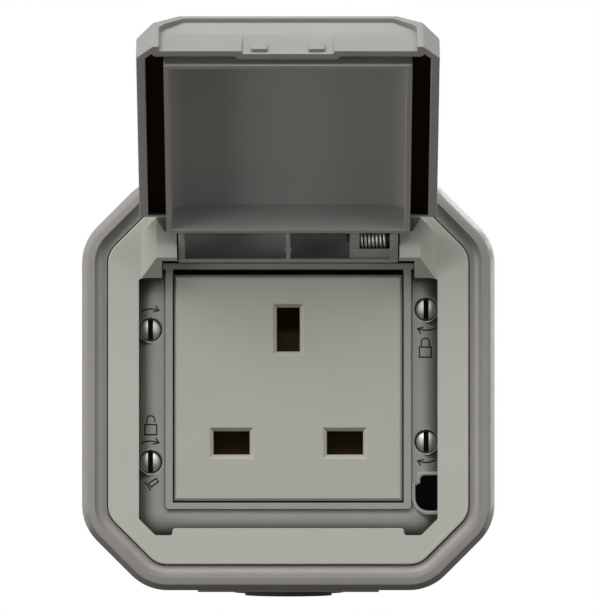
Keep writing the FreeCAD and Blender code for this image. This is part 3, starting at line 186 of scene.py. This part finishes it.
def elastomer(name, look):
    material, tree = emptyMaterial(name + "_matt_rubber")
    place = addNode(tree, "ShaderNodeTexCoord", {}).outputs["Object"]
    cells = addNode(tree, "ShaderNodeTexVoronoi",
                    {"feature": "SMOOTH_F1", "Scale": 1 / (look["cell"] * mm)}, {"Vector": place})
    bloom = addNode(tree, "ShaderNodeTexNoise",
                    {"Scale": 1 / (rubber["bloomSize"] * mm), "Detail": 4}, {"Vector": place})
    colour = addNode(tree, "ShaderNodeMix",
                     {"data_type": "RGBA", 6: toLinear(look["colour"]), 7: toLinear(look["bloom"])},
                     {0: bloom.outputs["Fac"]})
    bump = addNode(tree, "ShaderNodeBump", {"Strength": 1, "Distance": look["pit"] * mm},
                   {"Height": cells.outputs["Distance"]})
    shader = addNode(tree, "ShaderNodeBsdfPrincipled",
                     {"IOR": rubber["ior"], "Roughness": rubber["roughness"],
                      "Specular IOR Level": look["gloss"]},
                     {"Base Color": colour.outputs[2], "Normal": bump.outputs["Normal"]})
    finishMaterial(tree, shader)
    return material


# Zinc plate on turned steel keeps the tool's rings, brass strip keeps the roll's straight lines,
# and spring wire is drawn bright. The rings run round the piece's own longest axis. The floor of
# the slots in the screw heads is painted dark, as painted shade in the slots.
metals = {
    # Painted shade: the contact brass is coloured far darker than brass, as the shade inside the
    # socket's openings.
    "contact_brass": {"colour": "#5E4520", "dark": "#47330F", "roughness": 0.5, "pitch": 0.5},
    "plated_steel": {"colour": "#B9B8B4", "dark": "#A3A29E", "roughness": 0.48, "pitch": 0.35},
    "spring_steel": {"colour": "#DDDBD7", "dark": "#C6C4C0", "roughness": 0.5, "pitch": 0.6},
    # Painted shade: the hinge pin and plunger are the plated steel coloured dark, with no glints.
    "shaded_hinge_steel": {"colour": "#4A4845", "dark": "#3B3936", "roughness": 0.55, "pitch": 0.35},
}
shadedHingeSteel = ("hinge_pin", "hinge_plunger")
metalMarks = {"distortion": 0.6, "stretch": 0.05, "height": 0.002, "spot": 2.5, "shinier": 0.05,
              "duller": 0.08, "edge": 0.08}
# Painted shade in the screw slots: how far below the head it starts, how it fades in, and its
# colour.
slotShade = {"below": 1.2, "reach": 0.4, "full": 0.15, "colour": "#14100B"}


def workedMetal(name, look, centre=(0, 0, 0), rings=None, shadedSlotFloor=None):
    material, tree = emptyMaterial(name + "_worked_metal")
    place = addNode(tree, "ShaderNodeTexCoord", {}).outputs["Object"]
    centred = addNode(tree, "ShaderNodeMapping", {"Location": [-c for c in centre]},
                      {"Vector": place})
    scale = 1 / (look["pitch"] * mm)
    if rings:
        marks = addNode(tree, "ShaderNodeTexWave",
                        {"wave_type": "RINGS", "rings_direction": rings,
                         "Scale": scale / math.tau * 2, "Distortion": metalMarks["distortion"]},
                        {"Vector": centred.outputs["Vector"]})
    else:
        stretched = addNode(tree, "ShaderNodeMapping", {"Scale": (1, 1, metalMarks["stretch"])},
                            {"Vector": centred.outputs["Vector"]})
        marks = addNode(tree, "ShaderNodeTexNoise", {"Scale": scale, "Detail": 3},
                        {"Vector": stretched.outputs["Vector"]})
    tarnish = addNode(tree, "ShaderNodeTexNoise",
                      {"Scale": 1 / (metalMarks["spot"] * mm), "Detail": 4}, {"Vector": place})
    colour = addNode(tree, "ShaderNodeMix",
                     {"data_type": "RGBA", 6: toLinear(look["colour"]), 7: toLinear(look["dark"])},
                     {0: tarnish.outputs["Fac"]})
    dullness = addNode(tree, "ShaderNodeMapRange",
                       {"To Min": look["roughness"] - metalMarks["shinier"],
                        "To Max": look["roughness"] + metalMarks["duller"]},
                       {"Value": tarnish.outputs["Fac"]})
    # Painted shade: the colour turns dark towards the floor of the slot in a screw head.
    if shadedSlotFloor is not None:
        height = addNode(tree, "ShaderNodeSeparateXYZ", {}, {0: place}).outputs["Y"]
        deep = addNode(tree, "ShaderNodeMapRange",
                       {"From Min": shadedSlotFloor - slotShade["reach"] * mm,
                        "From Max": shadedSlotFloor - slotShade["full"] * mm}, {"Value": height})
        colour = addNode(tree, "ShaderNodeMix",
                         {"data_type": "RGBA", 7: toLinear(slotShade["colour"])},
                         {0: deep.outputs["Result"], 6: colour.outputs[2]})
    softEdge = addNode(tree, "ShaderNodeBevel",
                       {"samples": bevelSamples, "Radius": metalMarks["edge"] * mm})
    bump = addNode(tree, "ShaderNodeBump", {"Strength": 1, "Distance": metalMarks["height"] * mm},
                   {"Height": marks.outputs["Fac"], "Normal": softEdge.outputs["Normal"]})
    shader = addNode(tree, "ShaderNodeBsdfPrincipled", {"Metallic": 1},
                     {"Base Color": colour.outputs[2], "Roughness": dullness.outputs["Result"],
                      "Normal": bump.outputs["Normal"]})
    finishMaterial(tree, shader)
    return material


slotOf = {part["node"]: part["material_slot"] for part in frame["record"]["subparts"]}
for name, node in nodes.items():
    if name in mouldedPlastics:
        material = mouldedPlastic(name, mouldedPlastics[name])
    elif name in elastomers:
        material = elastomer(name, elastomers[name])
    else:
        low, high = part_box(name)
        along = max(range(3), key=lambda axis: (high - low)[axis])
        turned = slotOf[name] == "plated_steel"
        rings = "XYZ"[along] if turned else None
        metal = "shaded_hinge_steel" if name in shadedHingeSteel else slotOf[name]
        # the height of the painted shade in the slot of a lock screw
        floor = low.y + slotShade["below"] * mm if name.startswith("lock_screw") else None
        material = workedMetal(name, metals[metal], (low + high) / 2, rings, floor)
    node.data.materials.clear()
    node.data.materials.append(material)
print("finishes given to every node")


# Mouldings with their edges broken. An edge beside a fitted gap stays sharp, so that the gap stays
# narrow. Sizes are in millimetres, angles in degrees, and room is in bevel radii.

brokenEdges = {
    "lid": {"radius": 0.25},
    "bezel": {"radius": 0.12},
    "back_box": {"radius": 0.35, "sharpAt": 44.3},
    "inner_frame": {"radius": 0.2},
    "socket_plate": {"radius": 0.12},
    "plate_seal": {"radius": 0.15},
}
edgeTest = {"merge": 0.002, "flat": 1, "sharp": 30, "across": 35, "room": 2.2, "near": 0.05}
sharpAngle = math.radians(edgeTest["sharp"])


def hasRoom(edge, radius):
    for corner in edge.verts:
        along = (edge.other_vert(corner).co - corner.co).normalized()
        for other in corner.link_edges:
            if other == edge:
                continue
            away = other.other_vert(corner).co - corner.co
            slant = math.degrees(along.angle(away, 0))
            across = edgeTest["across"] < slant < 180 - edgeTest["across"]
            if across and away.length < edgeTest["room"] * radius:
                return False
    return True


def staysSharp(edge, rule):
    if "sharpAt" not in rule:
        return False
    return all(abs(-corner.co.y - rule["sharpAt"] * mm) < edgeTest["near"] * mm
               for corner in edge.verts)


def mergedCopy(node):
    copy = bmesh.new()
    copy.from_mesh(nodes[node].data)
    bmesh.ops.remove_doubles(copy, verts=copy.verts, dist=edgeTest["merge"] * mm)
    bmesh.ops.dissolve_limit(copy, angle_limit=math.radians(edgeTest["flat"]),
                             verts=copy.verts, edges=copy.edges)
    return copy


def pieceFor(node, mesh):
    piece = bpy.data.objects.new(node + "_finished", mesh)
    bpy.context.scene.collection.objects.link(piece)
    mesh.materials.clear()
    mesh.materials.append(nodes[node].data.materials[0])
    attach(piece, nodes[node]["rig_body"])
    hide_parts(node)
    return piece


def standsFor(node, copy):
    mesh = bpy.data.meshes.new(node + "_finished")
    for edge in copy.edges:
        edge.smooth = edge.calc_face_angle(0) < sharpAngle
    for face in copy.faces:
        face.smooth = True
    copy.to_mesh(mesh)
    copy.free()
    return pieceFor(node, mesh)


def keepFlat(piece):
    weighted = piece.modifiers.new("flat faces stay flat", "WEIGHTED_NORMAL")
    weighted.keep_sharp = True


def breakEdges(node, copy):
    rule = brokenEdges[node]
    radius = rule["radius"] * mm
    before = copy.calc_volume()
    chosen = [edge for edge in copy.edges
              if edge.is_convex and edge.calc_face_angle(0) > sharpAngle
              and hasRoom(edge, radius) and not staysSharp(edge, rule)]
    bmesh.ops.bevel(copy, geom=chosen, offset=radius, offset_type="OFFSET", affect="EDGES",
                    segments=2, profile=0.5, material=-1, clamp_overlap=False)
    print("edges broken on", node, len(chosen), "volume", round(copy.calc_volume() / before, 4))


# Signs moulded into the shoulders, in millimetres across and up: which way each screw turns,
# where the turn locks it, and the tool for it. Each stroke is a groove of this width and depth.
# The shoulders are sliced across first, because one long face turns its light where a groove cuts
# it. The slices stay clear of every corner of the moulding.

signs = {"width": 0.27, "deep": 0.18, "over": 0.6, "step": 0.25, "corner": 0.08}
slices = {"every": 0.6, "low": -23.13, "top": 20}
besideSigns = {"onSurface": 0.04, "reach": 0.6}
# Painted shade: the walls and floors of the grooves are coloured darker, as the shade in them.
signShade = {"colour": "#48433B", "drift": "#3D3830", "roughness": 0.6, "gloss": 0.1, "edge": 0.03}
turnArrow = {"radius": 4.1, "from": -27, "to": 24, "head": 1.2, "spread": 34}
padlock = {"half": 1.17, "body": 1.97, "shackle": 0.8, "leg": 0.95, "openBy": 0.5}
padlocks = {
    "left": {"at": (-26.95, -7.99), "open": True, "arrows": 0},
    "right": {"at": (26.85, 7.21), "open": False, "arrows": 180},
}
toolSign = {"at": (-27.49, -20.09), "turn": 34, "bar": 1.03, "start": 0.4, "end": 2.2,
            "half": 0.42}


def placed(points, at, degrees=0):
    turn = math.radians(degrees)
    return [(at[0] + x * math.cos(turn) - z * math.sin(turn),
             at[1] + x * math.sin(turn) + z * math.cos(turn)) for x, z in points]


def arc(centre, radius, first, last, parts=16):
    turns = [math.radians(first + (last - first) * part / parts) for part in range(parts + 1)]
    return [(centre[0] + radius * math.sin(turn), centre[1] + radius * math.cos(turn))
            for turn in turns]


def boxed(left, right, bottom, top):
    reach = signs["corner"]
    return [[(left - reach, bottom), (right + reach, bottom)],
            [(right, bottom - reach), (right, top + reach)],
            [(right + reach, top), (left - reach, top)],
            [(left, top + reach), (left, bottom - reach)]]


def arrowStrokes():
    curve = arc((0, 0), turnArrow["radius"], turnArrow["from"], turnArrow["to"])
    tip = curve[-1]
    legs = [placed([(signs["corner"], 0), (-turnArrow["head"], 0)], tip, slant - turnArrow["to"])
            for slant in (-turnArrow["spread"], turnArrow["spread"])]
    return [[curve], legs[:1], legs[1:]]


def padlockStrokes(isOpen):
    half, leg, shackle = padlock["half"], padlock["leg"], padlock["shackle"]
    rightFoot = padlock["openBy"] if isOpen else 0
    hoop = [(-shackle, 0), *arc((0, leg), shackle, -90, 90), (shackle, rightFoot)]
    body = boxed(-half, half, -padlock["body"], 0)
    return [body[0::2], body[1::2], [hoop]]


def toolStrokes():
    bar = [(0, -toolSign["bar"]), (0, toolSign["bar"])]
    shank = boxed(toolSign["start"], toolSign["end"], -toolSign["half"], toolSign["half"])
    return [shank[0::2] + [bar], shank[1::2], []]


# Three rounds of strokes. The strokes of one round don't touch, so that each cut is a clean one.
def signStrokes():
    rounds = [[], [], []]

    def draw(sign, at, turned=0):
        for collected, strokes in zip(rounds, sign):
            collected.extend(placed(stroke, at, turned) for stroke in strokes)

    for side, lock in padlocks.items():
        for place in ("upper", "lower"):
            low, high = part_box("lock_screw_" + place + "_" + side)
            centre = (low + high) / 2 / mm
            draw(arrowStrokes(), (centre.x, centre.z), lock["arrows"])
        draw(padlockStrokes(lock["open"]), lock["at"])
    draw(toolStrokes(), toolSign["at"], toolSign["turn"])
    return rounds


def evenSteps(stroke):
    points = [Vector(stroke[0])]
    for start, end in zip(stroke, stroke[1:]):
        run = Vector(end) - Vector(start)
        count = max(1, round(run.length / signs["step"]))
        points += [Vector(start) + run * step / count for step in range(1, count + 1)]
    return points


def grooveCutter(surface, strokes):
    cutter = bmesh.new()
    for stroke in strokes:
        points = evenSteps(stroke)
        last = len(points) - 1
        made = bmesh.ops.create_grid(cutter, x_segments=last, y_segments=1, size=0.5)["verts"]
        for corner in made:
            at = round((corner.co.x + 0.5) * last)
            run = (points[min(at + 1, last)] - points[max(at - 1, 0)]).normalized()
            spot = points[at] + Vector((-run.y, run.x)) * corner.co.y * signs["width"]
            inFront = Vector((spot.x * mm, cadBox[0].y, spot.y * mm))
            hit = surface.ray_cast(inFront, Vector((0, 1, 0)))[0]
            corner.co = (spot.x * mm, hit.y + signs["deep"] * mm, spot.y * mm)
        flat = list({face for corner in made for face in corner.link_faces})
        grown = bmesh.ops.extrude_face_region(cutter, geom=flat)["geom"]
        raised = [item for item in grown if isinstance(item, bmesh.types.BMVert)]
        bmesh.ops.translate(cutter, verts=raised,
                            vec=(0, -(signs["deep"] + signs["over"]) * mm, 0))
    bmesh.ops.recalc_face_normals(cutter, faces=cutter.faces)
    return cutter


def objectFrom(shape, name):
    mesh = bpy.data.meshes.new(name)
    shape.to_mesh(mesh)
    made = bpy.data.objects.new(name, mesh)
    bpy.context.scene.collection.objects.link(made)
    return made


def sliceAcross(copy):
    height = slices["low"]
    while height < slices["top"]:
        everything = list(copy.verts) + list(copy.edges) + list(copy.faces)
        bmesh.ops.bisect_plane(copy, geom=everything, plane_co=(0, 0, height * mm),
                               plane_no=(0, 0, 1))
        height += slices["every"]


def cutSigns(copy):
    sliceAcross(copy)
    before = copy.copy()
    surface = BVHTree.FromBMesh(before)
    for strokes in signStrokes():
        blank = objectFrom(copy, "shoulders_blank")
        cutter = objectFrom(grooveCutter(surface, strokes), "sign_cutter")
        cut = blank.modifiers.new("signs", "BOOLEAN")
        cut.operation, cut.solver, cut.object = "DIFFERENCE", "EXACT", cutter
        finished = blank.evaluated_get(bpy.context.evaluated_depsgraph_get())
        result = bpy.data.meshes.new_from_object(finished)
        for helper in (blank, cutter):
            bpy.data.objects.remove(helper)
        copy.clear()
        copy.from_mesh(result)
        print("signs cut, volume", round(copy.calc_volume() / before.calc_volume(), 5), "faces",
              len(copy.faces), "open edges", sum(not edge.is_manifold for edge in copy.edges))
    return before


# The grooves split the curved shoulders into odd faces, so beside a groove the light follows the
# shoulder as it was before the cut.
def normalBefore(before, found):
    around = before.faces[found[2]].verts
    shares = poly_3d_calc([corner.co for corner in around], found[0])
    normal = sum((corner.normal * share for corner, share in zip(around, shares)), Vector())
    return normal.normalized()


def finishSigns(piece, before):
    bpy.context.view_layer.update()
    surface = BVHTree.FromBMesh(before)
    before.faces.ensure_lookup_table()
    places = [spot for strokes in signStrokes() for stroke in strokes
              for spot in evenSteps(stroke)]
    mesh = piece.data
    mesh.materials.append(mouldedPlastic("shaded_sign_grooves", signShade))
    normals = [corner.vector.copy() for corner in mesh.corner_normals]
    for face in mesh.polygons:
        middle = Vector((face.center.x, face.center.z)) / mm
        if min((middle - place).length for place in places) > besideSigns["reach"]:
            continue
        nearest = [surface.find_nearest(mesh.vertices[index].co) for index in face.vertices]
        if max(found[3] for found in nearest) > besideSigns["onSurface"] * mm:
            # Painted shade: a groove's faces take the darker groove colour.
            face.material_index = 1
            continue
        for loop, found in zip(face.loop_indices, nearest):
            normals[loop] = normalBefore(before, found)
    mesh.normals_split_custom_set(normals)


for node in brokenEdges:
    copy = mergedCopy(node)
    breakEdges(node, copy)
    if node == "inner_frame":
        before = cutSigns(copy)
        finishSigns(standsFor(node, copy), before)
    else:
        keepFlat(standsFor(node, copy))


# Springs that a plunger or a shutter presses: each gets a piece of its own in the node's place

for joint in frame["record"]["behaviour"]["joints"]:
    for pressed in joint.get("deforming_nodes", ()):
        node, letter = pressed["node"], pressed["mode"][-1]
        axis = "xyz".index(letter)
        anchor, along = Vector(), Vector()
        anchor[axis], along[axis] = pressed["fixed_end_" + letter + "_m"], 1
        spring = pieceFor(node, nodes[node].data.copy())
        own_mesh(spring)


# Stage, lamps and camera

stage = {"below": 0.12, "size": 1.2, "pale": "#EFEFED", "bounce": "#5A5A58", "roughness": 0.9}


def floorMaterial():
    material, tree = emptyMaterial("pale_floor")
    seen = addNode(tree, "ShaderNodeLightPath", {}).outputs["Is Camera Ray"]
    colour = addNode(tree, "ShaderNodeMix",
                     {"data_type": "RGBA", 6: toLinear(stage["bounce"]), 7: toLinear(stage["pale"])},
                     {0: seen})
    shader = addNode(tree, "ShaderNodeBsdfPrincipled", {"Roughness": stage["roughness"]},
                     {"Base Color": colour.outputs[2]})
    finishMaterial(tree, shader)
    return material


floorMesh = bpy.data.meshes.new("floor")
floorShape = bmesh.new()
bmesh.ops.create_grid(floorShape, x_segments=1, y_segments=1, size=stage["size"] / 2)
bmesh.ops.translate(floorShape, verts=floorShape.verts, vec=(0, 0, cadBox[0].z - stage["below"]))
floorShape.to_mesh(floorMesh)
floorShape.free()
floorMesh.materials.append(floorMaterial())
floor = bpy.data.objects.new("floor", floorMesh)
bpy.context.scene.collection.objects.link(floor)

# A lamp is placed by how far it stands to the right of the front and how high, in degrees. A share
# of 1 lights a surface that faces the lamp so that its colour renders as it is written. The sky's
# light is given as a place from straight down, 0, to straight up, 1, and a strength.
lamps = {
    "key": {"turn": -6, "height": 46, "size": (0.9, 0.5), "share": 0.32},
    "left key": {"turn": -33, "height": 41, "size": (0.6, 0.5), "share": 0.4},
    "right key": {"turn": 33, "height": 41, "size": (0.6, 0.5), "share": 0.24},
    "left side": {"turn": -63, "height": -6, "size": (0.5, 0.5), "share": 0.34},
    "right side": {"turn": 63, "height": -6, "size": (0.5, 0.5), "share": 0.16},
    "back fill": {"turn": 170, "height": 12, "size": (0.8, 0.8), "share": 0.35},
}
lampDistance = 1.5
studio = {"background": "#FFFFFF", "below": (0.25, 0.04), "level": (0.5, 0.08),
          "above": (0.75, 0.14)}


def addLamp(name, lamp):
    data = bpy.data.lights.new(name, "AREA")
    turn, height = math.radians(lamp["turn"]), math.radians(lamp["height"])
    towards = Vector((math.sin(turn) * math.cos(height), -math.cos(turn) * math.cos(height),
                      math.sin(height)))
    data.shape = "RECTANGLE"
    data.size, data.size_y = lamp["size"]
    data.energy = lamp["share"] * math.pi ** 2 * lampDistance ** 2
    lampObject = bpy.data.objects.new(name, data)
    lampObject.location = towards * lampDistance
    lampObject.rotation_euler = (-towards).to_track_quat("-Z", "Y").to_euler()
    bpy.context.scene.collection.objects.link(lampObject)


for name, lamp in lamps.items():
    addLamp(name, lamp)


def studioWorld():
    world = bpy.data.worlds.new("studio")
    world.use_nodes = True
    tree = world.node_tree
    tree.nodes.clear()
    rays = addNode(tree, "ShaderNodeLightPath", {})
    cameraOrGlossy = addNode(tree, "ShaderNodeMath", {"operation": "MAXIMUM"},
                             {0: rays.outputs["Is Camera Ray"], 1: rays.outputs["Is Glossy Ray"]})
    showsWhite = addNode(tree, "ShaderNodeMath", {"operation": "MAXIMUM"},
                         {0: cameraOrGlossy.outputs[0], 1: rays.outputs["Is Transmission Ray"]})
    direction = addNode(tree, "ShaderNodeTexCoord", {}).outputs["Generated"]
    height = addNode(tree, "ShaderNodeSeparateXYZ", {}, {0: direction}).outputs["Z"]
    brightness = addNode(tree, "ShaderNodeValToRGB", {})
    stops = brightness.color_ramp.elements
    stops.new(studio["level"][0])
    for stop, side in zip(stops, ("below", "level", "above")):
        stop.position, strength = studio[side]
        stop.color = (strength, strength, strength, 1)
    upward = addNode(tree, "ShaderNodeMapRange", {"From Min": -1}, {"Value": height})
    tree.links.new(upward.outputs["Result"], brightness.inputs["Fac"])
    soft = addNode(tree, "ShaderNodeBackground", {}, {"Color": brightness.outputs["Color"]})
    white = addNode(tree, "ShaderNodeBackground", {"Color": toLinear(studio["background"])})
    shown = addNode(tree, "ShaderNodeMixShader", {},
                    {0: showsWhite.outputs[0], 1: soft.outputs[0], 2: white.outputs[0]})
    addNode(tree, "ShaderNodeOutputWorld", {}, {"Surface": shown.outputs[0]})
    return world


bpy.context.scene.world = studioWorld()

# The photo is 615 pixels high, and 5.107 of them make a millimetre at the cover plate.
shot = {"place": (0.00229, -1.6426, 0.01498), "lens": 478.3, "sensor": 36}
cameraData = bpy.data.cameras.new("camera")
cameraData.lens = shot["lens"]
cameraData.sensor_width = shot["sensor"]
cameraData.sensor_fit = "AUTO"
camera = bpy.data.objects.new("camera", cameraData)
camera.location = shot["place"]
camera.rotation_euler = (math.radians(90), 0, 0)
bpy.context.scene.collection.objects.link(camera)
bpy.context.scene.camera = camera
bpy.context.scene.view_settings.view_transform = "Standard"
print("stage, lamps and camera set")
